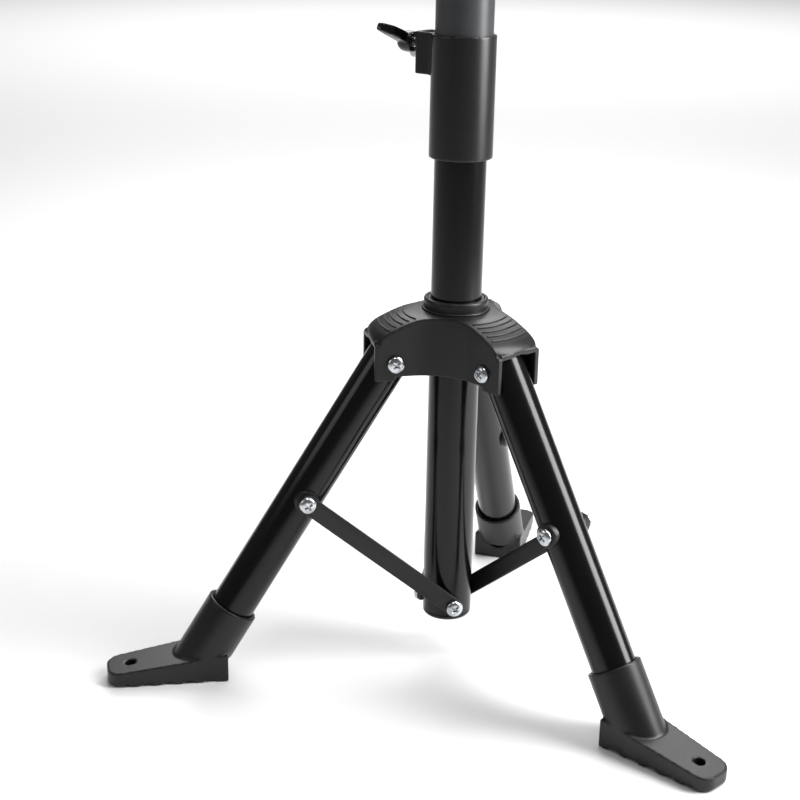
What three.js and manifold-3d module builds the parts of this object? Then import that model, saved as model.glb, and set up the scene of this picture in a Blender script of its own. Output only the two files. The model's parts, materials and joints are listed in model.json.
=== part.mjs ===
// Folding tripod mast stand, lengths in mm, +Z up, legs at 90 (back), 210 (left) and 330 (right) degrees.
// The origin is the middle of the flat lower face of the column's end plug, on the mast axis.
import * as THREE from "three";
import { mergeVertices } from "three/addons/utils/BufferGeometryUtils.js";
import Module from "manifold-3d";

const wasm = await Module();
wasm.setup();

// ---- driving dimensions -------------------------------------------------------------------------
const GAP = 0.3; // between neighbouring pieces
const GROUND_Z = -28;
const LEGS = { back: 90, left: 210, right: 330 };

const COLUMN_R = 16;
const COLUMN_WALL = 1.6;
const COLUMN_TOP = 720;
const PLUG_FLANGE_R = 15.7;
const PLUG_FLANGE_H = 2.8;
const PLUG_SPIGOT_H = 22;

const PIVOT_R = 42.4; // leg hinge, from the mast axis
const PIVOT_Z = 182.4;
const SPREAD = THREE.MathUtils.degToRad(31.67); // leg from the vertical
const LEG_R = 14;
const LEG_WALL = 1.5;
const LEG_ABOVE_PIVOT = 9;
const LEG_END = 234; // from the hinge to the tube's lower end
const LEG_CAP_H = 1.6;

const STRUT_ON_LEG = 105.4; // from the hinge along the leg
const STRUT_FOOT_Z = 11; // strut hinge on the column
const STRUT_WIDTH = 11.5;
const STRUT_EYE_R = 6.6;
const STRUT_THICK = 2.4;
const STRUT_INNER_Y = 16.4; // inner face, from the plane of the leg
const BOSS_R = 7.8;

const SHANK_R = 3; // M6
const HOLE_R = SHANK_R + GAP;
const HEAD_R = 5.5;
const HEAD_H = 3.3;
const RECESS_W = 1.3;
const RECESS_SPAN = 6.4;
const RECESS_D = 1.8;
const BARREL_R = 4.2; // sleeve nut of the leg hinge
const BARREL_BORE = SHANK_R - 0.1;

const HUB_BOTTOM = 171.5;
const HUB_SKIRT_Z = 174; // between the channel flanges
const HUB_SKIRT_R = 46;
const HUB_END = 55.5; // outer end of a channel
const HUB_HALF = 18.2;
const CHANNEL_HALF = LEG_R + 0.6;
const CHANNEL_IN = 23.6;
const HUB_ROOF = 2.4;
const HUB_FILLET = 36; // concave skirt between two channels
const NECK_R = 20.3;
const NECK_TOP = 219.4;
const NECK_BASE = 205;
const BUSH_OUT = 17.5;
const BUSH_IN = COLUMN_R + GAP;
const HUB_BORE = BUSH_OUT + GAP;
const HUB_DOME_TOP = 211.8;
const HUB_DOME = [ // radius and height, from the neck out
  [20, HUB_DOME_TOP],
  [28, 211.2],
  [34, 209.9],
  [40, 207.6],
  [46, 204.7],
  [51, 201.8],
  [54, 199.3],
  [HUB_END, 196.6],
];

const FOOT_HEEL = 150;
const FOOT_TOE = 226;
const FOOT_HEEL_HALF = 17.8;
const FOOT_TOE_HALF = 12.8;
const FOOT_HEEL_H = 19;
const FOOT_TOE_H = 9.5;
const FOOT_CORNER = 8;
const FOOT_TOE_ROUND = 3;
const SOCKET_R = 16.9;
const SOCKET_RIM = 193; // from the hinge along the leg
const SOCKET_BASE_Z = GROUND_Z + 2.4;
const TREAD_PITCH = 13.3;
const TREAD_FIRST = 161;
const TREAD_COUNT = 5;
const TREAD_R = 8;
const TREAD_DEEP = 2;
const PEG_AT = 211;
const PEG_R = 3.5;

const MAST_R = 17.5;
const MAST_IN = COLUMN_R + GAP;
const MAST_BOTTOM = 330;
const MAST_TOP = 843;
const CAP_H = 3.4;
const CAP_SPIGOT = 15;

const COLLAR_R = 19.5;
const COLLAR_BOTTOM = 307;
const COLLAR_TOP = 380;
const COLLAR_BORE = MAST_R + GAP;
const COLLAR_RIM = 1; // rounding of the rims
const LUG_AZ = 160;
const LUG_HALF = 8;
const LUG_END = 31;
const LUG_BOTTOM = 355;
const LUG_WALL = 2.4;
const CLAMP_Z = 372.5;
const NUT_FLAT = 5; // half the width across flats
const NUT_H = 5;
const NUT_OUT = 28.2; // outer face, from the mast axis

const PAD_R = 3.4;
const PAD_IN = COLUMN_R + GAP;
const PAD_OUT = 19;
const KNOB_R = 6.4;
const KNOB_H = 11;
const KNOB_GRIP = 7; // of the screw inside a knob
const KNOB_FACE = LUG_END + 5; // from the mast axis
const WING_SPAN = 21;
const WING_THICK = 6.4;
const WING_TURN = THREE.MathUtils.degToRad(118); // wings from the vertical

const LOCK_AZ = 150; // screw that fixes the hub on the column, behind the left channel
const LOCK_Z = 192;
const LOCK_PAD_OUT = 17.4;
const SCREW_TRAVEL = 2; // of a clamp screw when it is backed off
const LOCK_FACE = 29.5;
const LOCK_KNOB_R = 12;
const LOCK_KNOB_H = 13.6;

// ---- small tools --------------------------------------------------------------------------------
const UP = new THREE.Vector3(0, 0, 1);
const RADIAL = new THREE.Vector3(1, 0, 0);

/** The same surface with shared corners and no collapsed triangles, so it closes exactly. */
function closed(geometry) {
  const bare = geometry.clone();
  bare.deleteAttribute("normal");
  bare.deleteAttribute("uv");
  const merged = mergeVertices(bare, 1e-4);
  const corners = merged.index.array;
  const kept = [];
  for (let i = 0; i < corners.length; i += 3) {
    const [a, b, c] = corners.slice(i, i + 3);
    if (a !== b && b !== c && c !== a) {
      kept.push(a, b, c);
    }
  }
  merged.setIndex(kept);
  return merged;
}

/** A solid for the boolean kernel from a closed three.js geometry. */
function solid(geometry) {
  return new wasm.Manifold(
    new wasm.Mesh({
      numProp: 3,
      vertProperties: new Float32Array(geometry.attributes.position.array),
      triVerts: new Uint32Array(geometry.index.array),
    }),
  );
}

/** A three.js geometry from a solid. */
function geometryOf(body) {
  const mesh = body.getMesh();
  const geometry = new THREE.BufferGeometry();
  geometry.setAttribute("position", new THREE.BufferAttribute(new Float32Array(mesh.vertProperties), 3));
  geometry.setIndex(new THREE.BufferAttribute(new Uint32Array(mesh.triVerts), 1));
  return geometry;
}

/** First geometry with the others added. */
function add(first, ...others) {
  return geometryOf(others.reduce((body, other) => body.add(solid(other)), solid(first)));
}

/** First geometry with the others cut away. */
function cut(first, ...others) {
  return geometryOf(others.reduce((body, other) => body.subtract(solid(other)), solid(first)));
}

/** What the two geometries share. */
function common(first, second) {
  return geometryOf(solid(first).intersect(solid(second)));
}

/** A body turned about +Z from [radius, height] points that close on themselves or end on the axis. */
function turned(profile, segments = 32) {
  const points = profile.map(([r, z]) => new THREE.Vector2(r, z));
  return closed(new THREE.LatheGeometry(points, segments)).rotateX(Math.PI / 2);
}

/** A solid rod of one radius from z0 to z1. */
function rod(radius, z0, z1, segments = 20) {
  return turned([[0, z0], [radius, z0], [radius, z1], [0, z1]], segments);
}

/** A tube from z0 to z1. */
function tube(outer, inner, z0, z1, segments = 36) {
  return turned([[inner, z0], [outer, z0], [outer, z1], [inner, z1], [inner, z0]], segments);
}

/** A box between two corners. */
function block(x0, x1, y0, y1, z0, z1) {
  const box = closed(new THREE.BoxGeometry(x1 - x0, y1 - y0, z1 - z0));
  return box.translate((x0 + x1) / 2, (y0 + y1) / 2, (z0 + z1) / 2);
}

/** A flat outline in XY pulled up +Z from zero. */
function extruded(shape, depth, curveSegments = 8) {
  return closed(new THREE.ExtrudeGeometry(shape, { depth, bevelEnabled: false, curveSegments }));
}

/** Stands a geometry drawn along +Z on a point, along a direction. */
function along(geometry, point, direction) {
  const turn = new THREE.Quaternion().setFromUnitVectors(UP, direction.clone().normalize());
  return geometry.applyQuaternion(turn).translate(point.x, point.y, point.z);
}

/** Turns a geometry about the mast axis. */
function around(geometry, degrees) {
  return geometry.rotateZ(THREE.MathUtils.degToRad(degrees));
}

/** Lays a geometry drawn along +Z on a radius at a height, z being the distance from the mast axis. */
function outward(geometry, height, azimuth) {
  return around(along(geometry, new THREE.Vector3(0, 0, height), RADIAL), azimuth);
}

/** A point at a distance below the leg hinge on the leg's own axis, in the leg's plane. */
function onLeg(distance, y = 0) {
  return new THREE.Vector3(
    PIVOT_R + distance * Math.sin(SPREAD),
    y,
    PIVOT_Z - distance * Math.cos(SPREAD),
  );
}
const LEG_DIRECTION = new THREE.Vector3(Math.sin(SPREAD), 0, -Math.cos(SPREAD));
const SIDE = new THREE.Vector3(0, 1, 0);

/** Lays a geometry drawn along +Z on the leg's axis, z = 0 at the hinge and growing downwards. */
function downLeg(geometry) {
  return along(geometry, onLeg(0), LEG_DIRECTION);
}

/** Lays a geometry drawn along +Z across the leg's plane, through (x, z); side 1 or -1. */
function across(geometry, x, z, side = 1) {
  return along(geometry, new THREE.Vector3(x, 0, z), SIDE.clone().multiplyScalar(side));
}

/** Cross-recessed pan head drawn upwards from z0 with its shank or barrel joined on below. */
function panHead(z0, body) {
  const dome = turned([
    [0, z0],
    [HEAD_R, z0],
    [HEAD_R, z0 + 1.2],
    [HEAD_R - 1.4, z0 + 2.7],
    [HEAD_R - 3.4, z0 + HEAD_H],
    [0, z0 + HEAD_H],
  ], 16);
  const top = z0 + HEAD_H;
  const recess = [
    block(-RECESS_SPAN / 2, RECESS_SPAN / 2, -RECESS_W / 2, RECESS_W / 2, top - RECESS_D, top + 1),
    block(-RECESS_W / 2, RECESS_W / 2, -RECESS_SPAN / 2, RECESS_SPAN / 2, top - RECESS_D, top + 1),
  ];
  return cut(add(dome, body), ...recess);
}

// ---- finishes -----------------------------------------------------------------------------------
/** A maker of one finish, so that each piece gets a material of its own. */
function coat(color, roughness, metalness) {
  return () => new THREE.MeshStandardMaterial({ color, roughness, metalness });
}
const gloss = coat("#0c0c0d", 0.22, 0.1);
const satin = coat("#1d1e20", 0.5, 0);
const anthracite = coat("#45474a", 0.42, 0.3);
const zinc = coat("#c9ccd0", 0.25, 1);

const stand = new THREE.Group();
stand.name = "tripod_mast_stand";

/** Adds one named piece to the stand. */
function piece(name, geometry, material) {
  const mesh = new THREE.Mesh(geometry, material);
  mesh.name = name;
  stand.add(mesh);
}

// ---- column -------------------------------------------------------------------------------------
const columnInner = COLUMN_R - COLUMN_WALL;
const screwAzimuths = Object.values(LEGS).map((azimuth) => azimuth + 90);
const screwTip = 8;

/** Radial holes for the three strut screws. */
function screwHoles() {
  const hole = rod(HOLE_R, screwTip - 1, COLUMN_R + 4);
  return screwAzimuths.map((azimuth) => outward(hole.clone(), STRUT_FOOT_Z, azimuth));
}

const columnTube = tube(COLUMN_R, columnInner, PLUG_FLANGE_H + GAP, COLUMN_TOP);
piece("column_tube", cut(columnTube, ...screwHoles()), gloss());

const plugSpigot = columnInner - GAP;
const plugBody = turned([
  [0, 0],
  [PLUG_FLANGE_R - 1.2, 0],
  [PLUG_FLANGE_R, 1.2],
  [PLUG_FLANGE_R, PLUG_FLANGE_H],
  [plugSpigot, PLUG_FLANGE_H],
  [plugSpigot, PLUG_SPIGOT_H],
  [0, PLUG_SPIGOT_H],
], 44);
piece("column_plug", cut(plugBody, ...screwHoles()), satin());

// ---- hub ----------------------------------------------------------------------------------------
/** Outline of the hub in plan: three channels joined by concave walls. */
function hubOutline() {
  const shape = new THREE.Shape();
  const centre = (HUB_HALF + HUB_FILLET) / Math.sin(Math.PI / 3);
  const azimuths = Object.values(LEGS).map(THREE.MathUtils.degToRad);
  const turn = (x, y, a) => [x * Math.cos(a) - y * Math.sin(a), x * Math.sin(a) + y * Math.cos(a)];
  azimuths.forEach((a, i) => {
    const corner = turn(HUB_END, -HUB_HALF, a);
    if (i === 0) {
      shape.moveTo(...corner);
    } else {
      shape.lineTo(...corner);
    }
    shape.lineTo(...turn(HUB_END, HUB_HALF, a));
    const middle = turn(centre, 0, a + Math.PI / 3);
    shape.absarc(...middle, HUB_FILLET, a - Math.PI / 2, a - Math.PI / 2 - Math.PI / 3, true);
  });
  return shape;
}

/** Lays a geometry drawn along +Z on the hub lock screw's axis. */
function onLock(geometry) {
  return outward(geometry, LOCK_Z, LOCK_AZ);
}

const hubBlank = extruded(hubOutline(), HUB_DOME_TOP + 4 - HUB_BOTTOM, 12).translate(0, 0, HUB_BOTTOM);
const dome = turned([
  [0, HUB_BOTTOM - 1],
  [HUB_END + 9, HUB_BOTTOM - 1],
  [HUB_END + 9, HUB_DOME.at(-1)[1] - 5],
  ...[...HUB_DOME].reverse(),
  [0, HUB_DOME_TOP],
], 48);
const neck = turned([
  [0, NECK_BASE],
  [NECK_R, NECK_BASE],
  [NECK_R, NECK_TOP - 1.2],
  [NECK_R - 0.9, NECK_TOP],
  [0, NECK_TOP],
], 48);
const underDome = HUB_DOME.map(([r, z]) => [r, z - HUB_ROOF]);
const channelRoof = turned([
  [0, HUB_BOTTOM - 5],
  [HUB_END + 12, HUB_BOTTOM - 5],
  [HUB_END + 12, underDome.at(-1)[1]],
  ...[...underDome].reverse(),
  [0, HUB_DOME_TOP - HUB_ROOF],
], 36);
const channels = Object.values(LEGS).map((azimuth) => {
  const slot = block(CHANNEL_IN, HUB_END + 5, -CHANNEL_HALF, CHANNEL_HALF, HUB_BOTTOM - 3, NECK_TOP);
  return common(around(slot, azimuth), channelRoof);
});
const hingeHoles = Object.values(LEGS).map((azimuth) =>
  around(across(rod(BARREL_R + GAP, -HUB_HALF - 2, HUB_HALF + 2, 16), PIVOT_R, PIVOT_Z), azimuth));
const hubBody = cut(
  add(common(hubBlank, dome), neck),
  rod(HUB_BORE, HUB_BOTTOM - 1, NECK_TOP + 1, 48),
  rod(HUB_SKIRT_R, HUB_BOTTOM - 1, HUB_SKIRT_Z, 60),
  ...channels,
  ...hingeHoles,
  onLock(rod(HOLE_R, 15, 40)),
  onLock(rod(PAD_R + GAP, 10, LOCK_PAD_OUT + SCREW_TRAVEL + GAP, 24)),
);
piece("hub", hubBody, satin());
const hubBush = tube(BUSH_OUT, BUSH_IN, HUB_SKIRT_Z + 0.5, NECK_TOP - 0.6, 48);
piece("hub_bush", cut(hubBush, onLock(rod(PAD_R + GAP, 10, 30))), satin());

// ---- legs, feet and struts ----------------------------------------------------------------------
/** Foot: a tapered wedge with a scalloped sole, a socket for the leg and a peg hole at the toe. */
function foot() {
  const slabWidth = 2 * FOOT_HEEL_HALF + 8;
  const rise = Math.asin((TREAD_R - TREAD_DEEP) / TREAD_R);
  const side = new THREE.Shape();
  side.moveTo(FOOT_HEEL, GROUND_Z);
  side.lineTo(TREAD_FIRST - TREAD_R * Math.cos(rise), GROUND_Z);
  for (let i = 0; i < TREAD_COUNT; i += 1) {
    const middle = TREAD_FIRST + i * TREAD_PITCH;
    side.absarc(middle, GROUND_Z + TREAD_DEEP - TREAD_R, TREAD_R, Math.PI - rise, rise, true);
  }
  side.lineTo(FOOT_TOE - FOOT_TOE_ROUND, GROUND_Z);
  side.quadraticCurveTo(FOOT_TOE, GROUND_Z, FOOT_TOE, GROUND_Z + FOOT_TOE_ROUND);
  side.lineTo(FOOT_TOE, GROUND_Z + FOOT_TOE_H - 2);
  side.quadraticCurveTo(FOOT_TOE, GROUND_Z + FOOT_TOE_H, FOOT_TOE - 2.5, GROUND_Z + FOOT_TOE_H + 0.2);
  side.lineTo(FOOT_HEEL - 1, GROUND_Z + FOOT_HEEL_H);
  const slab = extruded(side, slabWidth, 4).rotateX(Math.PI / 2).translate(0, slabWidth / 2, 0);

  const toe = FOOT_TOE + 0.4; // just past the slab, so its front face stays flat
  const plan = new THREE.Shape();
  plan.moveTo(FOOT_HEEL - 4, -FOOT_HEEL_HALF);
  plan.lineTo(FOOT_TOE - FOOT_CORNER, -FOOT_TOE_HALF);
  plan.quadraticCurveTo(toe, -FOOT_TOE_HALF, toe, -FOOT_TOE_HALF + FOOT_CORNER);
  plan.lineTo(toe, FOOT_TOE_HALF - FOOT_CORNER);
  plan.quadraticCurveTo(toe, FOOT_TOE_HALF, FOOT_TOE - FOOT_CORNER, FOOT_TOE_HALF);
  plan.lineTo(FOOT_HEEL - 4, FOOT_HEEL_HALF);
  const taper = extruded(plan, FOOT_HEEL_H + 20, 3).translate(0, 0, GROUND_Z - 5);

  const wedge = common(slab, taper);
  const socket = downLeg(rod(SOCKET_R, SOCKET_RIM, LEG_END + 32, 32));
  const clipped = common(socket, block(FOOT_HEEL - 12, FOOT_TOE, -30, 30, SOCKET_BASE_Z, 100));
  const bore = downLeg(rod(LEG_R + GAP, SOCKET_RIM - 5, LEG_END + GAP, 32));
  const peg = rod(PEG_R, GROUND_Z - 2, GROUND_Z + 30, 16).translate(PEG_AT, 0, 0);
  return cut(add(wedge, clipped), bore, peg);
}

const hingeHead = HUB_HALF + GAP;
const bossFace = STRUT_INNER_Y - GAP;
const strutOuter = STRUT_INNER_Y + STRUT_THICK;
const strutHead = strutOuter + GAP;
const strutEnd = onLeg(STRUT_ON_LEG);
const strutFoot = new THREE.Vector3(0, 0, STRUT_FOOT_Z);

/** Flat bar with round eyes from the column screw to the bolt on the leg. */
function strut() {
  const run = strutEnd.clone().sub(strutFoot);
  const length = run.length();
  const tilt = Math.atan2(run.z, run.x);
  const bend = Math.asin(STRUT_WIDTH / 2 / STRUT_EYE_R);
  const shape = new THREE.Shape();
  shape.absarc(length, 0, STRUT_EYE_R, Math.PI + bend, Math.PI * 3 - bend, false);
  shape.absarc(0, 0, STRUT_EYE_R, bend, Math.PI * 2 - bend, false);
  [0, length].forEach((x) => {
    const hole = new THREE.Path();
    hole.absarc(x, 0, HOLE_R, 0, Math.PI * 2, true);
    shape.holes.push(hole);
  });
  const bar = extruded(shape, STRUT_THICK, 8);
  bar.rotateX(Math.PI / 2).translate(0, STRUT_INNER_Y + STRUT_THICK, 0);
  return bar.rotateY(-tilt).translate(strutFoot.x, 0, strutFoot.z);
}

/** Saddle between the leg and a bolt head or strut. */
function boss(side) {
  const disc = across(tube(BOSS_R, HOLE_R, LEG_R / 2, bossFace, 20), strutEnd.x, strutEnd.z, side);
  return cut(disc, downLeg(rod(LEG_R + GAP, STRUT_ON_LEG - 30, STRUT_ON_LEG + 30, 32)));
}

const legTube = cut(
  downLeg(tube(LEG_R, LEG_R - LEG_WALL, -LEG_ABOVE_PIVOT + LEG_CAP_H + GAP, LEG_END, 32)),
  across(rod(BARREL_R + GAP, -20, 20, 16), PIVOT_R, PIVOT_Z),
  across(rod(HOLE_R, -20, 20, 12), strutEnd.x, strutEnd.z),
);
const legCap = downLeg(turned([
  [0, -LEG_ABOVE_PIVOT],
  [LEG_R - 1, -LEG_ABOVE_PIVOT],
  [LEG_R, -LEG_ABOVE_PIVOT + 1],
  [LEG_R, -LEG_ABOVE_PIVOT + LEG_CAP_H],
  [LEG_R - LEG_WALL - GAP, -LEG_ABOVE_PIVOT + LEG_CAP_H],
  [LEG_R - LEG_WALL - GAP, -BARREL_R - 0.6],
  [0, -BARREL_R - 0.6],
], 32));

/** Lays a screw on the leg's hinge, side 1 or -1. */
function onHinge(screw, side) {
  return across(screw, PIVOT_R, PIVOT_Z, side);
}

/** Lays a screw on the strut's hinge on the leg, side 1 or -1. */
function onStrutEnd(screw, side) {
  return across(screw, strutEnd.x, strutEnd.z, side);
}

const hingeBarrel = tube(BARREL_R, BARREL_BORE, -HUB_HALF, hingeHead + 0.5, 16);
const hingeShank = rod(BARREL_BORE - GAP, -HUB_HALF + 8, hingeHead + 0.5, 16);
const strutShank = rod(SHANK_R, -bossFace + GAP, bossFace + 1, 16);
const legPieces = {
  leg: [legTube, gloss],
  leg_cap: [legCap, satin],
  foot: [foot(), satin],
  strut: [strut(), satin],
  hinge_sleeve: [onHinge(panHead(hingeHead, hingeBarrel), 1), zinc],
  hinge_screw: [onHinge(panHead(hingeHead, hingeShank), -1), zinc],
  strut_bolt: [onStrutEnd(panHead(bossFace + GAP, strutShank), -1), zinc],
  strut_nut: [onStrutEnd(panHead(strutHead, rod(SHANK_R, STRUT_INNER_Y, strutHead + 0.5, 16)), 1), zinc],
  strut_screw: [
    across(panHead(strutHead, rod(SHANK_R, screwTip, strutHead + 0.5, 16)), 0, STRUT_FOOT_Z),
    zinc,
  ],
  boss_inner: [boss(-1), satin],
  boss_outer: [boss(1), satin],
};
Object.entries(LEGS).forEach(([which, azimuth]) => {
  Object.entries(legPieces).forEach(([name, [geometry, finish]]) => {
    piece(`${name}_${which}`, around(geometry.clone(), azimuth), finish());
  });
});

// ---- mast and its clamp collar ------------------------------------------------------------------
/** Lays a geometry drawn along +Z on the clamp screw's axis. */
function onClamp(geometry) {
  return outward(geometry, CLAMP_Z, LUG_AZ);
}

piece(
  "mast_tube",
  cut(tube(MAST_R, MAST_IN, MAST_BOTTOM, MAST_TOP), onClamp(rod(PAD_R + GAP, 10, 25, 24))),
  anthracite(),
);
const capSpigot = MAST_IN - GAP;
const mastCap = turned([
  [0, MAST_TOP - CAP_SPIGOT],
  [capSpigot, MAST_TOP - CAP_SPIGOT],
  [capSpigot, MAST_TOP + GAP],
  [MAST_R, MAST_TOP + GAP],
  [MAST_R, MAST_TOP + CAP_H - 1.4],
  [MAST_R - 1.4, MAST_TOP + CAP_H],
  [0, MAST_TOP + CAP_H],
], 44);
piece("mast_cap", mastCap, satin());

const collarBody = turned([
  [0, COLLAR_BOTTOM],
  [COLLAR_R - COLLAR_RIM, COLLAR_BOTTOM],
  [COLLAR_R, COLLAR_BOTTOM + COLLAR_RIM],
  [COLLAR_R, COLLAR_TOP - COLLAR_RIM],
  [COLLAR_R - COLLAR_RIM, COLLAR_TOP],
  [0, COLLAR_TOP],
], 48);
const lug = around(block(COLLAR_BORE - 4, LUG_END, -LUG_HALF, LUG_HALF, LUG_BOTTOM, COLLAR_TOP), LUG_AZ);
const pocketHalf = LUG_HALF - LUG_WALL;
const pocketEnd = LUG_END - LUG_WALL;
const lugPocket = around(
  block(COLLAR_R + 1, pocketEnd, -pocketHalf, pocketHalf, LUG_BOTTOM - 1, COLLAR_TOP + 1),
  LUG_AZ,
);
const collar = cut(
  add(collarBody, lug),
  lugPocket,
  rod(COLLAR_BORE, COLLAR_BOTTOM - 1, COLLAR_TOP + 1, 48),
  onClamp(rod(PAD_R + GAP, 10, COLLAR_R + 2, 24)),
  onClamp(rod(HOLE_R, 10, LUG_END + 3, 24)),
);
piece("collar", collar, satin());
piece("collar_bush", tube(BUSH_OUT, BUSH_IN, COLLAR_BOTTOM + 0.8, MAST_BOTTOM - GAP, 48), satin());

/** Round pad that presses on the column. */
function pad(out) {
  return turned([[0, PAD_IN], [PAD_R - 0.5, PAD_IN], [PAD_R, PAD_IN + 0.5], [PAD_R, out], [0, out]], 24);
}

/** A screw drawn along +Z from its pad's outer face into its knob. */
function clampScrew(padOut, knobFace) {
  const start = padOut + GAP;
  const end = knobFace + KNOB_GRIP;
  return turned([[0, start], [SHANK_R - 0.5, start], [SHANK_R, start + 0.5], [SHANK_R, end], [0, end]], 24);
}

/** The screw's bore in a knob whose lower face is at z0. */
function knobBore(z0) {
  return rod(HOLE_R, z0 - 1, z0 + KNOB_GRIP + GAP, 24);
}

/** Wing knob drawn along +Z: a boss with two swept wings, its lower face at z0. */
function wingKnob(z0) {
  const boss = turned([
    [0, z0],
    [KNOB_R - 0.8, z0],
    [KNOB_R, z0 + 0.8],
    [KNOB_R, z0 + 6.5],
    [KNOB_R - 1.4, z0 + KNOB_H - 0.5],
    [0, z0 + KNOB_H],
  ], 32);
  const wing = new THREE.Shape();
  wing.moveTo(-6, z0 + 1.5);
  wing.lineTo(6, z0 + 1.5);
  wing.quadraticCurveTo(WING_SPAN - 5, z0 + 5, WING_SPAN, z0 + 14);
  wing.quadraticCurveTo(WING_SPAN - 1, z0 + 16.2, WING_SPAN - 3.4, z0 + 15.4);
  wing.quadraticCurveTo(WING_SPAN / 2, z0 + 11.5, 4, z0 + 10);
  wing.lineTo(-4, z0 + 10);
  wing.quadraticCurveTo(-WING_SPAN / 2, z0 + 11.5, -WING_SPAN + 3.4, z0 + 15.4);
  wing.quadraticCurveTo(-WING_SPAN + 1, z0 + 16.2, -WING_SPAN, z0 + 14);
  wing.quadraticCurveTo(-WING_SPAN + 5, z0 + 5, -6, z0 + 1.5);
  const blade = extruded(wing, WING_THICK).rotateX(Math.PI / 2).translate(0, WING_THICK / 2, 0);
  return add(boss, blade);
}

/** Round knob of the lock screw drawn along +Z: a neck and a wider grip, its lower face at z0. */
function roundKnob(z0) {
  return turned([
    [0, z0],
    [KNOB_R - 0.8, z0],
    [KNOB_R, z0 + 0.8],
    [KNOB_R, z0 + 3],
    [LOCK_KNOB_R - 0.8, z0 + 4.6],
    [LOCK_KNOB_R, z0 + 6],
    [LOCK_KNOB_R, z0 + 10.5],
    [LOCK_KNOB_R - 1, z0 + 12.4],
    [LOCK_KNOB_R - 4, z0 + 13.4],
    [0, z0 + LOCK_KNOB_H],
  ], 40);
}

piece("clamp_pad", onClamp(pad(PAD_OUT)), satin());
piece("clamp_screw", onClamp(clampScrew(PAD_OUT, KNOB_FACE)), zinc());
piece("clamp_knob", onClamp(cut(wingKnob(KNOB_FACE), knobBore(KNOB_FACE)).rotateZ(WING_TURN)), gloss());
const nut = rod(NUT_FLAT / Math.cos(Math.PI / 6), NUT_OUT - NUT_H, NUT_OUT, 6).rotateZ(Math.PI / 6);
piece("clamp_nut", onClamp(cut(nut, rod(HOLE_R, 10, 40, 24))), zinc());

// ---- hub lock screw -----------------------------------------------------------------------------
piece("lock_pad", onLock(pad(LOCK_PAD_OUT)), satin());
piece("lock_screw", onLock(clampScrew(LOCK_PAD_OUT, LOCK_FACE)), zinc());
piece("lock_knob", onLock(cut(roundKnob(LOCK_FACE), knobBore(LOCK_FACE))), gloss());

export default stand;
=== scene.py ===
import json
import math

import bpy
from mathutils import Matrix, Vector


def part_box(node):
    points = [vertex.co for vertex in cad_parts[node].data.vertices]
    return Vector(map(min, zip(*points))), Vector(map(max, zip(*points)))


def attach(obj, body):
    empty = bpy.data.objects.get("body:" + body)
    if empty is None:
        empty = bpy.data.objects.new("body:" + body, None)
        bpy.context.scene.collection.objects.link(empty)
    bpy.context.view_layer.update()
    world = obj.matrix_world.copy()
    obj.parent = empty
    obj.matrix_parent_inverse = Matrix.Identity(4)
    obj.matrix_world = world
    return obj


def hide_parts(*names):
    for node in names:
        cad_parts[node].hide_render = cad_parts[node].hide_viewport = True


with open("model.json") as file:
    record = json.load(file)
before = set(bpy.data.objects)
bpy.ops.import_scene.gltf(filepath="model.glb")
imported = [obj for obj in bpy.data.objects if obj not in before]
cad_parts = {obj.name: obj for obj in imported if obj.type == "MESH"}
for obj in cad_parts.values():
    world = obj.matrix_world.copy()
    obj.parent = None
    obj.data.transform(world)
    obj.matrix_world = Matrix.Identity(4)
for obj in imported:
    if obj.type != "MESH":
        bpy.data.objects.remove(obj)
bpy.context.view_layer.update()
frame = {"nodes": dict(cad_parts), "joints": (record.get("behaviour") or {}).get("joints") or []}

MM = 0.001
LEG_AZIMUTHS = {"back": 90, "left": 210, "right": 330}
JOINTS = {joint["name"]: joint for joint in frame["joints"]}


# ---- camera -------------------------------------------------------------------------------------
def set_camera():
    """Stands the camera a metre away and half a metre up, looking a little down at the hub."""
    data = bpy.data.cameras.new("camera")
    data.lens = 69.74
    data.sensor_width = 36
    data.clip_start = 0.05
    camera = bpy.data.objects.new("camera", data)
    bpy.context.scene.collection.objects.link(camera)
    camera.location = (0.23444, -0.90852, 0.48129)
    camera.rotation_euler = [math.radians(turn) for turn in (70.504, -1.045, 16.913)]
    bpy.context.scene.camera = camera


set_camera()


# ---- modelling tools ----------------------------------------------------------------------------
def clear():
    """Nothing stays selected."""
    bpy.ops.object.select_all(action="DESELECT")


def choose(piece):
    """Selects one piece and makes it active."""
    clear()
    piece.select_set(True)
    bpy.context.view_layer.objects.active = piece


def fresh(name):
    """The primitive just added, under its own name."""
    piece = bpy.context.object
    piece.name = name
    piece.data.name = name
    return piece


def pick(piece, kind, test):
    """Opens a piece for editing with the faces, edges or vertices that pass the test selected."""
    choose(piece)
    mesh = piece.data
    for group in (mesh.vertices, mesh.edges, mesh.polygons):
        for element in group:
            element.select = False
    if kind == "VERT":
        for vertex in mesh.vertices:
            vertex.select = test(vertex.co)
    if kind == "EDGE":
        for edge in mesh.edges:
            a, b = (mesh.vertices[i].co for i in edge.vertices)
            edge.select = test(a, b)
    if kind == "FACE":
        for face in mesh.polygons:
            face.select = test(face.center, face.normal)
    bpy.context.tool_settings.mesh_select_mode = [kind == mode for mode in ("VERT", "EDGE", "FACE")]
    bpy.ops.object.mode_set(mode="EDIT")


def leave():
    """Back from editing."""
    bpy.ops.object.mode_set(mode="OBJECT")


def tidy(piece):
    """Merges doubles and points every face outwards."""
    choose(piece)
    bpy.ops.object.mode_set(mode="EDIT")
    bpy.ops.mesh.select_all(action="SELECT")
    bpy.ops.mesh.remove_doubles(threshold=0.00001)
    bpy.ops.mesh.normals_make_consistent(inside=False)
    leave()


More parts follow.
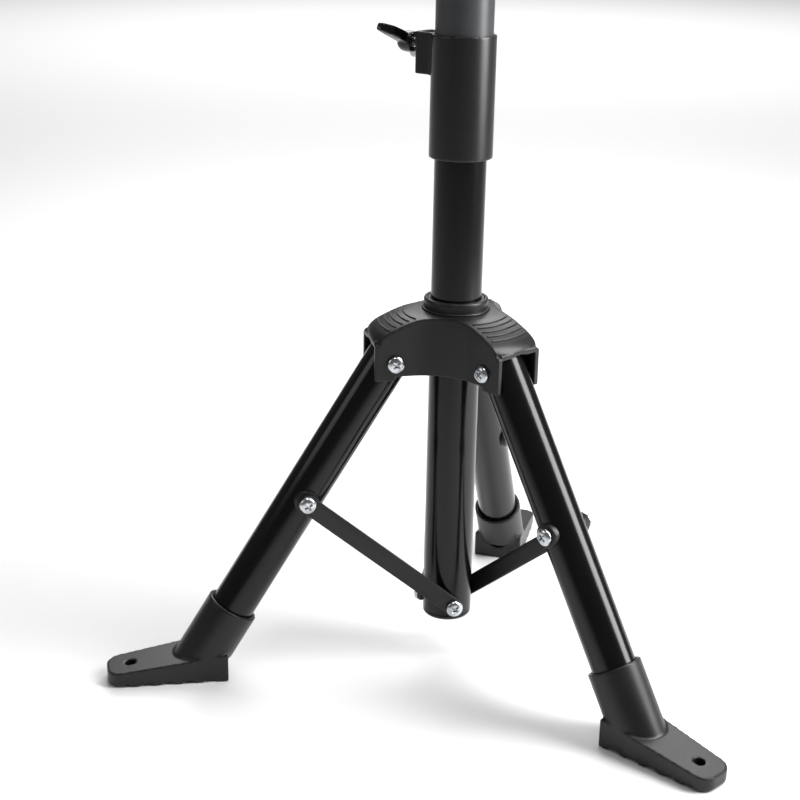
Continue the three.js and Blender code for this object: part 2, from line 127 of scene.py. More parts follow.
def modify(piece, kind, **settings):
    """Adds a modifier with its settings and applies it."""
    choose(piece)
    bpy.ops.object.modifier_add(type=kind)
    modifier = piece.modifiers[-1]
    for key, value in settings.items():
        setattr(modifier, key, value)
    bpy.ops.object.modifier_apply(modifier=modifier.name)


def ease(piece, width, segments=3, angle=35):
    """Rounds the sharp edges of a piece; width in mm."""
    modify(
        piece, "BEVEL", width=width * MM, segments=segments, limit_method="ANGLE",
        angle_limit=math.radians(angle), use_clamp_overlap=True, miter_outer="MITER_ARC",
    )


def join(first, *others):
    """Puts pieces into one object."""
    choose(first)
    for other in others:
        other.select_set(True)
    bpy.ops.object.join()
    return first


def carve(piece, *tools, keep="DIFFERENCE"):
    """Cuts tools away from a piece, or keeps what they share, and throws the tools away."""
    for tool in tools:
        modify(piece, "BOOLEAN", object=tool, operation=keep, solver="EXACT")
        bpy.data.objects.remove(tool)
    return piece


def cast(piece, voxel, rounds):
    """Melts a piece into one skin with softly rounded edges, as a mould leaves it; voxel in mm."""
    modify(piece, "REMESH", mode="VOXEL", voxel_size=voxel * MM, adaptivity=0)
    modify(piece, "SMOOTH", factor=0.5, iterations=rounds)
    return piece


def copy(piece, name):
    """A second piece with a mesh of its own."""
    choose(piece)
    bpy.ops.object.duplicate()
    return fresh(name)


def place(piece, matrix):
    """Moves a piece and lets its mesh keep the place."""
    choose(piece)
    piece.matrix_world = matrix
    bpy.context.view_layer.update()
    bpy.ops.object.transform_apply(location=True, rotation=True, scale=True)
    return piece


def turned(name, rings, count=64, hollow=False):
    """A lathe-turned piece about +Z from (radius, height) rings in mm."""
    clear()
    radius, height = rings[0]
    bpy.ops.mesh.primitive_circle_add(
        vertices=count, radius=radius * MM, location=(0, 0, height * MM),
        fill_type="NOTHING" if hollow else "NGON",
    )
    piece = fresh(name)
    bpy.ops.object.transform_apply(location=True)
    bpy.ops.object.mode_set(mode="EDIT")
    bpy.ops.mesh.select_mode(type="EDGE" if hollow else "FACE")
    bpy.ops.mesh.select_all(action="SELECT")
    for next_radius, next_height in rings[1:]:
        rise = (0, 0, (next_height - height) * MM)
        if hollow:
            bpy.ops.mesh.extrude_edges_move(TRANSFORM_OT_translate={"value": rise})
        else:
            bpy.ops.mesh.extrude_region_move(TRANSFORM_OT_translate={"value": rise})
        factor = next_radius / radius
        if abs(factor - 1) > 1e-6:
            bpy.ops.transform.resize(value=(factor, factor, 1), center_override=(0, 0, next_height * MM))
        radius, height = next_radius, next_height
    leave()
    tidy(piece)
    return piece


def rod(name, radius, low, high, count=64):
    """A plain solid rod to cut or build with; mm."""
    return turned(name, [(radius, low), (radius, high)], count)


def block(name, low, high):
    """A plain block between two corners, to cut or build with; mm."""
    clear()
    bpy.ops.mesh.primitive_cube_add(size=1)
    piece = fresh(name)
    piece.location = [(a + b) / 2 * MM for a, b in zip(low, high)]
    piece.scale = [(b - a) * MM for a, b in zip(low, high)]
    bpy.ops.object.transform_apply(location=True, rotation=True, scale=True)
    return piece


def pipe(name, outer, inner, low, high, edge=0.35, count=96):
    """A drawn tube with its cut ends eased; mm."""
    return turned(name, [
        (inner, low + edge),
        (inner + edge, low),
        (outer - edge, low),
        (outer, low + edge),
        (outer, high - edge),
        (outer - edge, high),
        (inner + edge, high),
        (inner, high - edge),
        (inner, low + edge),
    ], count, hollow=True)


def swing(degrees):
    """A turn about the mast axis."""
    return Matrix.Rotation(math.radians(degrees), 4, "Z")


def aim(point, direction):
    """Lays +Z along a direction from a point; the point in metres."""
    return Matrix.Translation(point) @ Vector(direction).to_track_quat("Z", "Y").to_matrix().to_4x4()


# ---- places read from the frame -----------------------------------------------------------------
COLUMN_LOW, COLUMN_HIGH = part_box("column_tube")
COLUMN_R = (COLUMN_HIGH.x - COLUMN_LOW.x) / 2 / MM
HINGE = Vector(JOINTS["leg_hinge_back"]["pos_m"])  # back leg, so its radius lies along +Y
HINGE_R = HINGE.y
HINGE_Z = HINGE.z
SPREAD = math.radians(31.67)
LEG_WAY = Vector((math.sin(SPREAD), 0, -math.cos(SPREAD)))  # down a leg, in its own plane
STRUT_FOOT_Z = JOINTS["strut_hinge_back"]["pos_m"][2]
STRUT_ON_LEG = 105.4
SCREW_HOLE_R = 3.3  # round an M6 screw
HINGE_HOLE_R = 4.5  # round a hinge sleeve
PAD_WAY_R = 3.7  # round a clamp pad
LEG_R = 14
LEG_END = 234
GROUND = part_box("foot_back")[0].z


def on_leg(distance):
    """A point down the leg's axis in its own plane; mm in, metres out."""
    return Vector((HINGE_R, 0, HINGE_Z)) + LEG_WAY * distance * MM


def down_leg(piece):
    """Lays a piece drawn along +Z down the leg, its zero at the hinge."""
    return place(piece, aim(on_leg(0), LEG_WAY))


def across(piece, point, side=1):
    """Lays a piece drawn along +Z across the leg's plane through a point."""
    return place(piece, aim(Vector((point.x, 0, point.z)), (0, side, 0)))


# ---- materials ----------------------------------------------------------------------------------
def colour(code):
    """sRGB hex to the linear colour a shader takes."""
    parts = [int(code[i:i + 2], 16) / 255 for i in (1, 3, 5)]
    return [c / 12.92 if c <= 0.04045 else ((c + 0.055) / 1.055) ** 2.4 for c in parts] + [1]


def add(tree, kind, inputs=None, **settings):
    """Adds a node with its settings; an input takes a value or the socket it is linked to."""
    made = tree.nodes.new(kind)
    for key, value in settings.items():
        setattr(made, key, value)
    for socket, value in (inputs or {}).items():
        if isinstance(value, bpy.types.NodeSocket):
            tree.links.new(value, made.inputs[socket])
        else:
            made.inputs[socket].default_value = value
    return made


def finish(name, dark, light, patch, rough, grain, depth, **sockets):
    """A coated or moulded surface.

    dark and light are its colours, mottled over patches of patch mm; rough is its roughness from
    handled to untouched; grain is the size of its surface texture in mm and depth its height in mm.
    """
    material = bpy.data.materials.new(name)
    material.use_nodes = True
    tree = material.node_tree
    tree.nodes.clear()
    place_on = add(tree, "ShaderNodeTexCoord").outputs["Object"]
    mottle = add(tree, "ShaderNodeTexNoise", {
        "Vector": place_on, "Scale": 1000 / patch, "Detail": 4.0, "Roughness": 0.55,
    })
    tone = add(tree, "ShaderNodeValToRGB", {"Fac": mottle.outputs["Fac"]})
    tone.color_ramp.elements[0].position = 0.35
    tone.color_ramp.elements[1].position = 0.68
    tone.color_ramp.elements[0].color = colour(dark)
    tone.color_ramp.elements[1].color = colour(light)
    handled = add(tree, "ShaderNodeTexNoise", {
        "Vector": place_on, "Scale": 1000 / (patch * 2.7), "Detail": 3.0, "Distortion": 0.4,
    })
    sheen = add(tree, "ShaderNodeMapRange", {
        "Value": handled.outputs["Fac"], "From Min": 0.3, "From Max": 0.7,
        "To Min": rough[0], "To Max": rough[1],
    })
    texture = add(tree, "ShaderNodeTexNoise", {
        "Vector": place_on, "Scale": 1000 / grain, "Detail": 2.0, "Roughness": 0.5,
    })
    relief = add(tree, "ShaderNodeBump", {
        "Height": texture.outputs["Fac"], "Strength": 1.0, "Distance": depth * MM,
    })
    shader = add(tree, "ShaderNodeBsdfPrincipled", {
        "Base Color": tone.outputs["Color"], "Roughness": sheen.outputs["Result"],
        "Normal": relief.outputs["Normal"], **sockets,
    })
    add(tree, "ShaderNodeOutputMaterial", {"Surface": shader.outputs["BSDF"]})
    return material


# Stoved gloss enamel on steel tube: deep black, mirror-like streaks, a faint orange peel.
GLOSS_ENAMEL = finish(
    "stoved black enamel", "#070708", "#0b0b0c", 60, (0.14, 0.2), 2.4, 0.008, **{"IOR": 1.4},
)
# Anthracite powder coat on the sliding tube: satin, dark grey, a fine even texture.
POWDER_COAT = finish(
    "anthracite powder coat", "#343537", "#3c3d3f", 80, (0.34, 0.42), 0.9, 0.012, **{"IOR": 1.5},
)
# Electrocoated flat steel: thin satin black film.
ECOAT = finish(
    "black electrocoat on steel", "#0e0e0f", "#141415", 30, (0.34, 0.46), 1.1, 0.01, **{"IOR": 1.46},
)
# Glass-filled nylon, moulded and polished by wear: satin with soft wide highlights.
NYLON = finish(
    "moulded black nylon", "#111112", "#171718", 45, (0.28, 0.36), 1.0, 0.012, **{"IOR": 1.5},
)
# Polypropylene from a spark-eroded mould: dull black with a fine pebble.
POLYPROPYLENE = finish(
    "moulded black polypropylene", "#131314", "#1b1b1c", 35, (0.31, 0.41), 0.8, 0.02, **{"IOR": 1.42},
)
# ABS knob, polished mould: glossy.
ABS = finish(
    "glossy black ABS", "#090909", "#0e0e0f", 25, (0.12, 0.2), 3.0, 0.008, **{"IOR": 1.5},
)
# Acetal wear bushes and pads: slightly waxy dark grey.
ACETAL = finish(
    "dark acetal", "#222325", "#2b2c2e", 20, (0.35, 0.45), 1.2, 0.008, **{"IOR": 1.48},
)
# Bright zinc plate on steel screws: silver with cloudy, faintly blue patches.
ZINC = finish(
    "bright zinc plate", "#b9bdc2", "#e2e4e6", 6, (0.12, 0.28), 0.7, 0.006, **{"Metallic": 1.0},
)


def dress(piece, material, body, node):
    """Finishes a piece: its shading and material, the body it rides on and the node it stands for."""
    choose(piece)
    bpy.ops.object.shade_smooth_by_angle(angle=math.radians(32))
    piece.name = "fine_" + node
    piece.data.name = piece.name
    piece.data.materials.clear()
    piece.data.materials.append(material)
    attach(piece, body)
    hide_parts(node)


def coat(node, material):
    """Gives a carried-over node its finish."""
    slots = frame["nodes"][node].data.materials
    slots.clear()
    slots.append(material)


for node in ("hub_bush", "collar_bush", "clamp_pad", "lock_pad"):
    coat(node, ACETAL)
coat("clamp_nut", ZINC)
for which in LEG_AZIMUTHS:
    coat(f"leg_cap_{which}", POLYPROPYLENE)


# ---- column and mast ----------------------------------------------------------------------------
MAST_R = 17.5


def make_column():
    """Column tube and the plug in its lower end, both drilled for the three strut screws."""
    low, high = COLUMN_LOW.z / MM, COLUMN_HIGH.z / MM
    tube = pipe("column tube", COLUMN_R, COLUMN_R - 1.6, low, high, edge=0.5)
    for azimuth in LEG_AZIMUTHS.values():
        hole = rod("hole", SCREW_HOLE_R, 6, 20, 32)
        place(hole, swing(azimuth + 90) @ aim((0, 0, STRUT_FOOT_Z), (1, 0, 0)))
        carve(tube, hole)
    dress(tube, GLOSS_ENAMEL, "column", "column_tube")

    plug = turned("column plug", [
        (11.5, 0), (13.9, 0), (15.0, 0.5), (15.7, 1.4), (15.7, 2.8),
        (14.1, 2.8), (14.1, 22), (12.4, 22), (12.4, 19),
    ], 96)
    for azimuth in LEG_AZIMUTHS.values():
        hole = rod("hole", SCREW_HOLE_R, 7, 20, 32)
        place(hole, swing(azimuth + 90) @ aim((0, 0, STRUT_FOOT_Z), (1, 0, 0)))
        carve(plug, hole)
    dress(plug, POLYPROPYLENE, "column", "column_plug")


def make_mast():
    """Mast tube, drilled for the clamp pad, and its cap."""
    low, high = (corner.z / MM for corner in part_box("mast_tube"))
    tube = pipe("mast tube", MAST_R, MAST_R - 1.2, low, high, edge=0.4)
    hole = rod("hole", PAD_WAY_R, 10, 25, 32)
    place(hole, CLAMP_FRAME)
    carve(tube, hole)
    dress(tube, POWDER_COAT, "mast", "mast_tube")

    cap = turned("mast cap", [
        (14.5, high - 15), (16, high - 15), (16, high + 0.3), (MAST_R, high + 0.3), (MAST_R, high + 1.9),
        (17.1, high + 2.8), (16.3, high + 3.3), (15.6, high + 3.4), (12, high + 3.4),
    ], 96)
    dress(cap, POLYPROPYLENE, "mast", "mast_cap")


# ---- clamp collar -------------------------------------------------------------------------------
CLAMP_AZ = 160
CLAMP_Z = JOINTS["clamp_turn"]["pos_m"][2]
CLAMP_FRAME = swing(CLAMP_AZ) @ aim((0, 0, CLAMP_Z), (1, 0, 0))
COLLAR_R = 19.5
COLLAR_BORE = 17.8
LUG_HALF = 8
LUG_END = 31
LUG_LOW = 355
LUG_WALL = 2.4
LUG_ROUND = 2.4


def make_collar():
    """Clamp collar: a ring with a hollow lug that holds the nut."""
    low, high = (corner.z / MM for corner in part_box("collar"))
    ring = rod("collar", COLLAR_R, low, high, 160)
    lug = block("lug", (12, -LUG_HALF, LUG_LOW), (LUG_END, LUG_HALF, high))
    pick(lug, "EDGE", lambda a, b: abs(a.z - b.z) > 0.01 and a.x > 0.03)
    bpy.ops.mesh.bevel(offset=LUG_ROUND * MM, segments=6)
    leave()
    place(lug, swing(CLAMP_AZ))
    root = block("root", (12, -9.2, LUG_LOW), (19.4, 9.2, high))
    place(root, swing(CLAMP_AZ))
    carve(ring, lug, root, keep="UNION")
    bore = rod("bore", COLLAR_BORE, low - 1, high + 1, 160)
    pocket_half = LUG_HALF - LUG_WALL
    pocket = block("pocket", (20.5, -pocket_half, LUG_LOW - 2), (LUG_END - LUG_WALL, pocket_half, high + 1))
    place(pocket, swing(CLAMP_AZ))
    screw_way = rod("screw way", PAD_WAY_R, 10, 21.5, 32)
    screw_out = rod("screw out", SCREW_HOLE_R, 20, 34, 32)
    place(screw_way, CLAMP_FRAME)
    place(screw_out, CLAMP_FRAME)
    carve(ring, bore, pocket, screw_way, screw_out)
    cast(ring, 0.5, 6)
    dress(ring, NYLON, "mast", "collar")


# ---- knobs and their screws ---------------------------------------------------------------------
KNOB_GRIP = 7  # of a screw inside its knob
CLAMP_FACE = 36  # lower face of the wing knob, from the mast axis
LOCK_AZ = 150
LOCK_FACE = 29.5  # lower face of the lock knob, from the mast axis
LOCK_FRAME = swing(LOCK_AZ) @ aim((0, 0, JOINTS["lock_turn"]["pos_m"][2]), (1, 0, 0))


def thread(name, low, start, high):
    """A screw's shank drawn along +Z: plain to start, threaded beyond it; mm."""
    rings = [(2.4, low), (2.95, low + 0.5)]
    height = max(start, low + 0.6)
    while height < high - 1:
        rings += [(2.95, height), (2.55, height + 0.42), (2.55, height + 0.55), (2.95, height + 0.95)]
        height += 1
    rings += [(2.95, high - 0.3), (2.6, high)]
    return turned(name, rings, 40)


def wing_knob():
    """A wing knob drawn along +Z from its lower face: a boss and two swept wings."""
    boss = turned("knob", [
        (5.2, 0), (6.0, 0.3), (6.4, 1.0), (6.4, 5.5), (6.1, 8.0), (5.2, 9.9), (3.6, 10.8), (1.5, 11),
    ], 64)
    for side in (1, -1):
        wing = block("wing", (2, -3.1, 1.8), (6, 3.1, 9.8))
        for reach, low, high, half in ((11, 2.7, 11.3, 3.1), (16, 5.6, 13.2, 3), (20.9, 11.4, 15.8, 2.4)):
            pick(wing, "FACE", lambda centre, normal: normal.x > 0.9)
            edge = max(v.co.x for v in wing.data.vertices)
            bpy.ops.mesh.extrude_region_move(TRANSFORM_OT_translate={"value": (reach * MM - edge, 0, 0)})
            leave()
            tip = [v for v in wing.data.vertices if v.co.x > reach * MM - 1e-6]
            middle = sum(v.co.z for v in tip) / len(tip)
            for v in tip:
                v.co.z = (high if v.co.z > middle else low) * MM
                v.co.y = math.copysign(half * MM, v.co.y)
        ease(wing, 1.1, 3, 20)
        if side < 0:
            place(wing, swing(180))
        join(boss, wing)
    cast(boss, 0.35, 4)
    return boss


def make_clamp():
    """The mast's clamp: a screw and its wing knob."""
    screw = thread("clamp screw", 19.3, 27, CLAMP_FACE + KNOB_GRIP)
    place(screw, CLAMP_FRAME)
    dress(screw, ZINC, "clamp_screw", "clamp_screw")
    knob = wing_knob()
    carve(knob, rod("bore", SCREW_HOLE_R, -1, KNOB_GRIP + 0.2, 32))
    place(knob, CLAMP_FRAME @ Matrix.Translation((0, 0, CLAMP_FACE * MM)) @ swing(28))
    dress(knob, ABS, "clamp_screw", "clamp_knob")


def make_lock():
    """The hub's lock: a screw and a fluted round knob."""
    screw = thread("lock screw", 17.7, 20, LOCK_FACE + KNOB_GRIP)
    place(screw, LOCK_FRAME)
    dress(screw, ZINC, "lock_screw", "lock_screw")
    knob = turned("lock knob", [
        (5.6, 0), (6.4, 0.8), (6.4, 3), (11.2, 4.6), (12, 6), (12, 10.5), (11, 12.4), (8, 13.4), (3, 13.6),
    ], 96)
    for turn in range(8):
        flute = rod("flute", 3.2, 3.5, 15, 32)
        place(flute, swing(turn * 45) @ Matrix.Translation((14 * MM, 0, 0)))
        carve(knob, flute)
    carve(knob, rod("bore", SCREW_HOLE_R, -1, KNOB_GRIP + 0.3, 32))
    cast(knob, 0.4, 4)
    place(knob, LOCK_FRAME @ Matrix.Translation((0, 0, LOCK_FACE * MM)))
    dress(knob, ABS, "lock_screw", "lock_knob")


# ---- hub ----------------------------------------------------------------------------------------
HUB_HALF = 18.2
HUB_END = 55.5
HUB_LOW = 171.5
FILLET = 36
HUB_BORE = 17.8
HUB_WALL = 3.6
HUB_ROOF = 2.4
RIBS = (33.4, 37.2, 41, 44.8, 48.6)  # radii
DOME = [
    (20, 211.8), (24, 211.6), (28, 211.2), (31, 210.65), (34, 209.9), (37, 208.85), (40, 207.6), (43, 206.2),
    (46, 204.7), (48.5, 203.35), (51, 201.8), (52.7, 200.5), (54, 199.2), (55, 197.8), (55.4, 196.6),
    (55.5, 195.4),
]


def make_hub():
    """Hub: three channels for the legs joined by concave walls, a domed top and a neck ring."""
    body = rod("hub", 36.2, HUB_LOW, 215, 96)
    middle = (HUB_HALF + FILLET) / math.sin(math.radians(60))
    for azimuth in LEG_AZIMUTHS.values():
        hollow = rod("hollow", FILLET, HUB_LOW - 2, 220, 192)
        place(hollow, swing(azimuth + 60) @ Matrix.Translation((middle * MM, 0, 0)))
        carve(body, hollow)
    for azimuth in LEG_AZIMUTHS.values():
        arm = block("arm", (5, -HUB_HALF, HUB_LOW), (HUB_END, HUB_HALF, 215))
        place(arm, swing(azimuth))
        carve(body, arm, keep="UNION")
    top = turned("top", [(70, HUB_LOW - 5), (70, 190), *reversed(DOME), (1, 211.8)], 160)
    carve(body, top, keep="INTERSECT")
    beads = []
    for azimuth in LEG_AZIMUTHS.values():
        bead = rod("bead", 1.5, -15.5, 15.5, 48)
        across(bead, Vector((53.95 * MM, 0, 195.4 * MM)))
        beads.append(place(bead, swing(azimuth)))
    neck = turned("neck", [
        (16.9, 200), (20.3, 209), (20.3, 218), (19.9, 219), (19.1, 219.4), (16, 219.4),
    ], 128)
    carve(body, neck, keep="UNION")
    under_dome = [(r, z - HUB_ROOF) for r, z in reversed(DOME)]
    roof = turned("roof", [(75, HUB_LOW - 8), (75, 192.8), *under_dome, (1, 209.4)], 120)
    slots = []
    for azimuth in LEG_AZIMUTHS.values():
        slot = block("slot", (23.6, HUB_WALL - HUB_HALF, HUB_LOW - 4), (65, HUB_HALF - HUB_WALL, 220))
        place(slot, swing(azimuth))
        slots.append(slot)
    slot = join(*slots)
    carve(slot, roof, keep="INTERSECT")
    bore = rod("bore", HUB_BORE, HUB_LOW - 2, 225, 128)
    skirt = rod("skirt", 46, HUB_LOW - 2, 174, 128)
    lock_way = rod("lock way", SCREW_HOLE_R, 15, 40, 32)
    place(lock_way, LOCK_FRAME)
    pad_way = rod("pad way", PAD_WAY_R, 10, 19.8, 40)
    place(pad_way, LOCK_FRAME)
    carve(body, slot, bore, skirt, lock_way, pad_way)
    for azimuth in LEG_AZIMUTHS.values():
        hole = rod("hole", HINGE_HOLE_R, -22, 22, 40)
        across(hole, Vector((HINGE_R, 0, HINGE_Z)))
        place(hole, swing(azimuth))
        carve(body, hole)
    carve(body, *beads, keep="UNION")
    cast(body, 0.55, 4)
    clear()
    bpy.ops.mesh.primitive_torus_add(
        major_radius=20.7 * MM, minor_radius=0.9 * MM, major_segments=160, minor_segments=20,
        location=(0, 0, 212.2 * MM),
    )
    foot_ring = fresh("foot ring")
    bpy.ops.object.transform_apply(location=True)
    join(body, foot_ring)
    ribs = []
    for radius in RIBS:
        height = next(
            z0 + (z1 - z0) * (radius - r0) / (r1 - r0)
            for (r0, z0), (r1, z1) in zip(DOME, DOME[1:]) if r0 <= radius <= r1
        )
        clear()
        bpy.ops.mesh.primitive_torus_add(
            major_radius=radius * MM, minor_radius=0.55 * MM, major_segments=240, minor_segments=16,
            location=(0, 0, (height + 0.12) * MM),
        )
        rib = fresh("rib")
        bpy.ops.object.transform_apply(location=True)
        ribs.append(rib)
    rib = join(*ribs)
    lands = []
    for azimuth in LEG_AZIMUTHS.values():
        land = block("land", (24, -15, 190), (60, 15, 220))
        place(land, swing(azimuth))
        lands.append(land)
    carve(rib, join(*lands), keep="INTERSECT")
    join(body, rib)
    dress(body, POLYPROPYLENE, "hub", "hub")


# ---- screws -------------------------------------------------------------------------------------
def pan_head(name):
    """Cross-recessed pan head drawn along +Z, its under-face at zero."""
    head = turned(name, [
        (3, 0), (5.1, 0), (5.4, 0.25), (5.5, 0.6), (5.5, 1.1), (5.3, 1.7), (4.8, 2.25), (4.1, 2.75),
        (3.1, 3.1), (1.8, 3.27), (0.4, 3.3),
    ], 64)
    for turn in (0, 90):
        slot = block("slot", (-3.3, -0.75, 0.9), (3.3, 0.75, 4))
        pick(slot, "VERT", lambda corner: corner.z < 0.002)
        bpy.ops.transform.resize(value=(0.5, 0.8, 1), center_override=(0, 0, 0.9 * MM))
        leave()
        place(slot, swing(turn + 20))
        carve(head, slot)
    ease(head, 0.12, 2, 40)
    return head


def make_screws():
    """Every screw: how far out its head sits, its shank's outline, its pivot, its side and its body.

    A hinge sleeve has no outline: its shank is a pipe.
    """
    head = pan_head("pan head")
    hinge_side = HUB_HALF + 0.3
    pieces = {
        "hinge_sleeve": (hinge_side, None, "hinge", 1, "hub"),
        "hinge_screw": (hinge_side, [(2.6, -0.5), (2.6, -28)], "hinge", -1, "hub"),
        "strut_bolt": (16.4, [(3, 0.5), (3, -32)], "strut", -1, "leg"),
        "strut_nut": (19.1, [(3, 0.5), (3, -2.6)], "strut", 1, "strut"),
        "strut_screw": (19.1, [(3, 0.5), (3, -11)], "foot", 1, "column"),
    }
    points = {
        "hinge": on_leg(0),
        "strut": on_leg(STRUT_ON_LEG),
        "foot": Vector((0, 0, STRUT_FOOT_Z)),
    }
    for name, (offset, rings, at, side, body) in pieces.items():
        for which, azimuth in LEG_AZIMUTHS.items():
            piece = copy(head, name.replace("_", " ") + " " + which)
            if rings is None:
                shank = pipe("shank", 4.2, 2.9, -36.2, 0.2, edge=0.2, count=40)
            else:
                shank = turned("shank", list(reversed(rings)), 40)
            join(piece, shank)
            place(piece, swing((azimuth * 7) % 60) if body != "strut" else swing(azimuth % 50))
            place(piece, Matrix.Translation((0, 0, offset * MM)))
            across(piece, points[at], side)
            place(piece, swing(azimuth))
            rides_on = body if body in ("hub", "column") else f"{body}_{which}"
            dress(piece, ZINC, rides_on, f"{name}_{which}")
    bpy.data.objects.remove(head)


# ---- legs, feet and struts ----------------------------------------------------------------------
HEEL = 149.5
TOE = 225.95
HEEL_HALF = 17.8
TOE_HALF = 12.8
TREAD_R = 8
TREAD_DEPTH = 2
SOCKET_R = 16.9
PEG_AT = 211


def make_foot():
    """Foot: a tapered wedge with a scalloped sole, a leg socket and a peg hole, in the leg's plane."""
    sole = GROUND / MM
    lift = 0.03
    body = block("foot", (HEEL, -HEEL_HALF, sole + lift), (TOE, HEEL_HALF, sole + 19))
    pick(body, "VERT", lambda corner: corner.x > 0.2)
    bpy.ops.transform.resize(
        value=(1, TOE_HALF / HEEL_HALF, 0.5), center_override=(TOE * MM, 0, GROUND + lift * MM),
    )
    leave()
    pick(body, "EDGE", lambda a, b: a.x > 0.2 and b.x > 0.2 and abs(a.z - b.z) > 0.005)
    bpy.ops.mesh.bevel(offset=8.5 * MM, segments=10)
    leave()
    pick(body, "EDGE", lambda a, b: (
        a.x > 0.215 and b.x > 0.215 and abs(a.z - b.z) < 0.003 and a.z < GROUND + 0.001
    ))
    bpy.ops.mesh.bevel(offset=2.6 * MM, segments=5)
    leave()
    for step in range(5):
        tread = rod("tread", TREAD_R, -25, 25, 96)
        middle = 161 + 13.3 * step
        across(tread, Vector((middle * MM, 0, (sole + TREAD_DEPTH - TREAD_R) * MM)))
        carve(body, tread)
    socket = rod("socket", SOCKET_R, 193, 266, 128)
    down_leg(socket)
    carve(socket, block("below", (100, -40, sole - 60), (300, 40, sole + 2.4)))
    carve(socket, block("behind", (100, -40, sole - 60), (HEEL, 40, sole + 12)))
    join(body, socket)
    modify(body, "REMESH", mode="VOXEL", voxel_size=0.6 * MM, adaptivity=0)
    bore = rod("bore", LEG_R + 0.3, 188, LEG_END + 0.3, 128)
    down_leg(bore)
    peg = rod("peg", 3.5, sole - 3, sole + 40, 48)
    place(peg, Matrix.Translation((PEG_AT * MM, 0, 0)))
    carve(body, bore, peg)
    cast(body, 0.6, 5)
    return body


def make_strut():
    """Flat bar with round ends, sheared and eased, in the leg's plane."""
    reach = on_leg(STRUT_ON_LEG) - Vector((0, 0, STRUT_FOOT_Z))
    length = reach.length
    clear()
    bpy.ops.mesh.primitive_circle_add(vertices=64, radius=5.9 * MM, fill_type="NGON")
    bar = fresh("strut")
    pick(bar, "VERT", lambda corner: corner.x > 1e-5)
    bpy.ops.transform.translate(value=(length, 0, 0))
    leave()
    pick(bar, "FACE", lambda centre, normal: True)
    bpy.ops.mesh.extrude_region_move(TRANSFORM_OT_translate={"value": (0, 0, 2.4 * MM)})
    leave()
    tidy(bar)
    ease(bar, 0.45, 3, 50)
    for x in (0, length):
        hole = rod("hole", SCREW_HOLE_R, -3, 6, 40)
        place(hole, Matrix.Translation((x, 0, 0)))
        carve(bar, hole)
    lie = Matrix.Rotation(math.radians(90), 4, "X")
    tilt = Matrix.Rotation(-math.atan2(reach.z, reach.x), 4, "Y")
    place(bar, Matrix.Translation((0, 18.8 * MM, STRUT_FOOT_Z)) @ tilt @ lie)
    return bar


def make_boss(side):
    """Saddle boss under a bolt head or strut, in the leg's plane."""
    boss = turned("boss", [(7.8, 7), (7.8, 15.2), (7.5, 15.8), (6.9, 16.1), (3, 16.1)], 64)
    carve(boss, rod("way", SCREW_HOLE_R, 0, 20, 40))
    across(boss, on_leg(STRUT_ON_LEG), side)
    seat = rod("seat", LEG_R + 0.3, STRUT_ON_LEG - 20, STRUT_ON_LEG + 20, 128)
    carve(boss, down_leg(seat))
    return boss


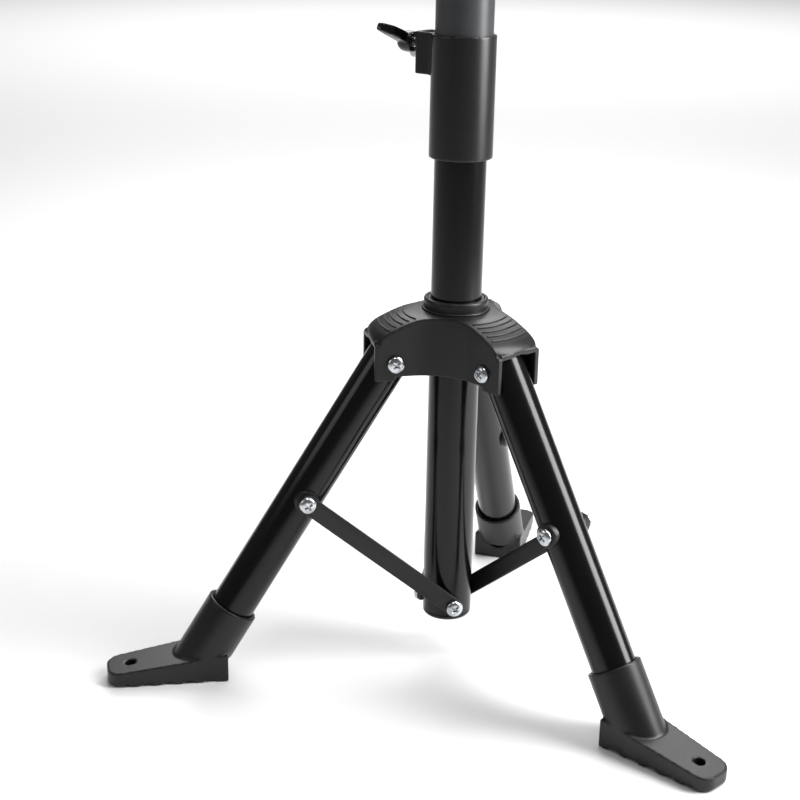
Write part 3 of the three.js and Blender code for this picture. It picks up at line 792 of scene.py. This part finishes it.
def make_legs():
    """Models one leg with its foot, strut and bosses, and puts a copy of each at the three legs."""
    tube = pipe("leg", LEG_R, LEG_R - 1.5, -7.1, LEG_END, edge=0.4)
    down_leg(tube)
    for radius, point in ((HINGE_HOLE_R, on_leg(0)), (SCREW_HOLE_R, on_leg(STRUT_ON_LEG))):
        hole = rod("hole", radius, -20, 20, 40)
        across(hole, point)
        carve(tube, hole)
    strut = make_strut()
    foot = make_foot()
    bosses = {"boss_inner": make_boss(-1), "boss_outer": make_boss(1)}
    parts = {
        "leg": (tube, GLOSS_ENAMEL, "gloss_black_paint", "leg"),
        "strut": (strut, ECOAT, "satin_black_steel", "strut"),
        "foot": (foot, POLYPROPYLENE, "black_moulding", "leg"),
        "boss_inner": (bosses["boss_inner"], POLYPROPYLENE, "black_moulding", "leg"),
        "boss_outer": (bosses["boss_outer"], POLYPROPYLENE, "black_moulding", "leg"),
    }
    for name, (model, material, slot, body) in parts.items():
        for which, azimuth in LEG_AZIMUTHS.items():
            piece = copy(model, name.replace("_", " ") + " " + which)
            place(piece, swing(azimuth))
            dress(piece, material, f"{body}_{which}", f"{name}_{which}")
        bpy.data.objects.remove(model)


make_column()
make_mast()
make_collar()
make_clamp()
make_lock()
make_hub()
make_screws()
make_legs()


# ---- floor and light ----------------------------------------------------------------------------
def make_floor():
    """A plain pale floor under the feet."""
    clear()
    bpy.ops.mesh.primitive_plane_add(size=14, location=(0, 0, GROUND))
    floor = fresh("floor")
    bpy.ops.object.transform_apply(location=True)
    material = bpy.data.materials.new("pale studio floor")
    material.use_nodes = True
    shader = material.node_tree.nodes["Principled BSDF"]
    shader.inputs["Base Color"].default_value = colour("#e9e9e9")
    shader.inputs["Roughness"].default_value = 0.6
    floor.data.materials.append(material)


def lamp(name, place, target, size, power, spread=180):
    """A soft rectangular lamp aimed at a point; metres, watts and degrees."""
    data = bpy.data.lights.new(name, "AREA")
    data.shape = "RECTANGLE"
    data.size, data.size_y = size
    data.energy = power
    data.spread = math.radians(spread)
    light = bpy.data.objects.new(name, data)
    bpy.context.scene.collection.objects.link(light)
    light.location = place
    light.rotation_euler = (Vector(target) - Vector(place)).to_track_quat("-Z", "Y").to_euler()


make_floor()
lamp("tall strip on the right", (0.80, 0.05, 0.74), (0, 0, 0.42), (0.42, 1.1), 21)
lamp("soft box on the left", (-1.3, -0.9, 1.0), (0, 0, 0.15), (0.8, 0.8), 3)
lamp("overhead, behind", (-0.1, 1.1, 1.7), (-0.05, 0.8, 0), (1.6, 1.2), 6.5, 80)
lamp("backdrop", (-0.9, 3.6, 2.6), (-0.8, 3.2, 0), (3.5, 2.5), 135)
lamp("small lamp over the hub", (0.1, -0.4, 1.3), (0, 0, 0.2), (0.3, 0.3), 2.2)
world = bpy.data.worlds.new("studio")
world.use_nodes = True
world.node_tree.nodes["Background"].inputs["Color"].default_value = colour("#f2f2f2")
world.node_tree.nodes["Background"].inputs["Strength"].default_value = 0.15
bpy.context.scene.world = world
bpy.context.scene.view_settings.view_transform = "Standard"
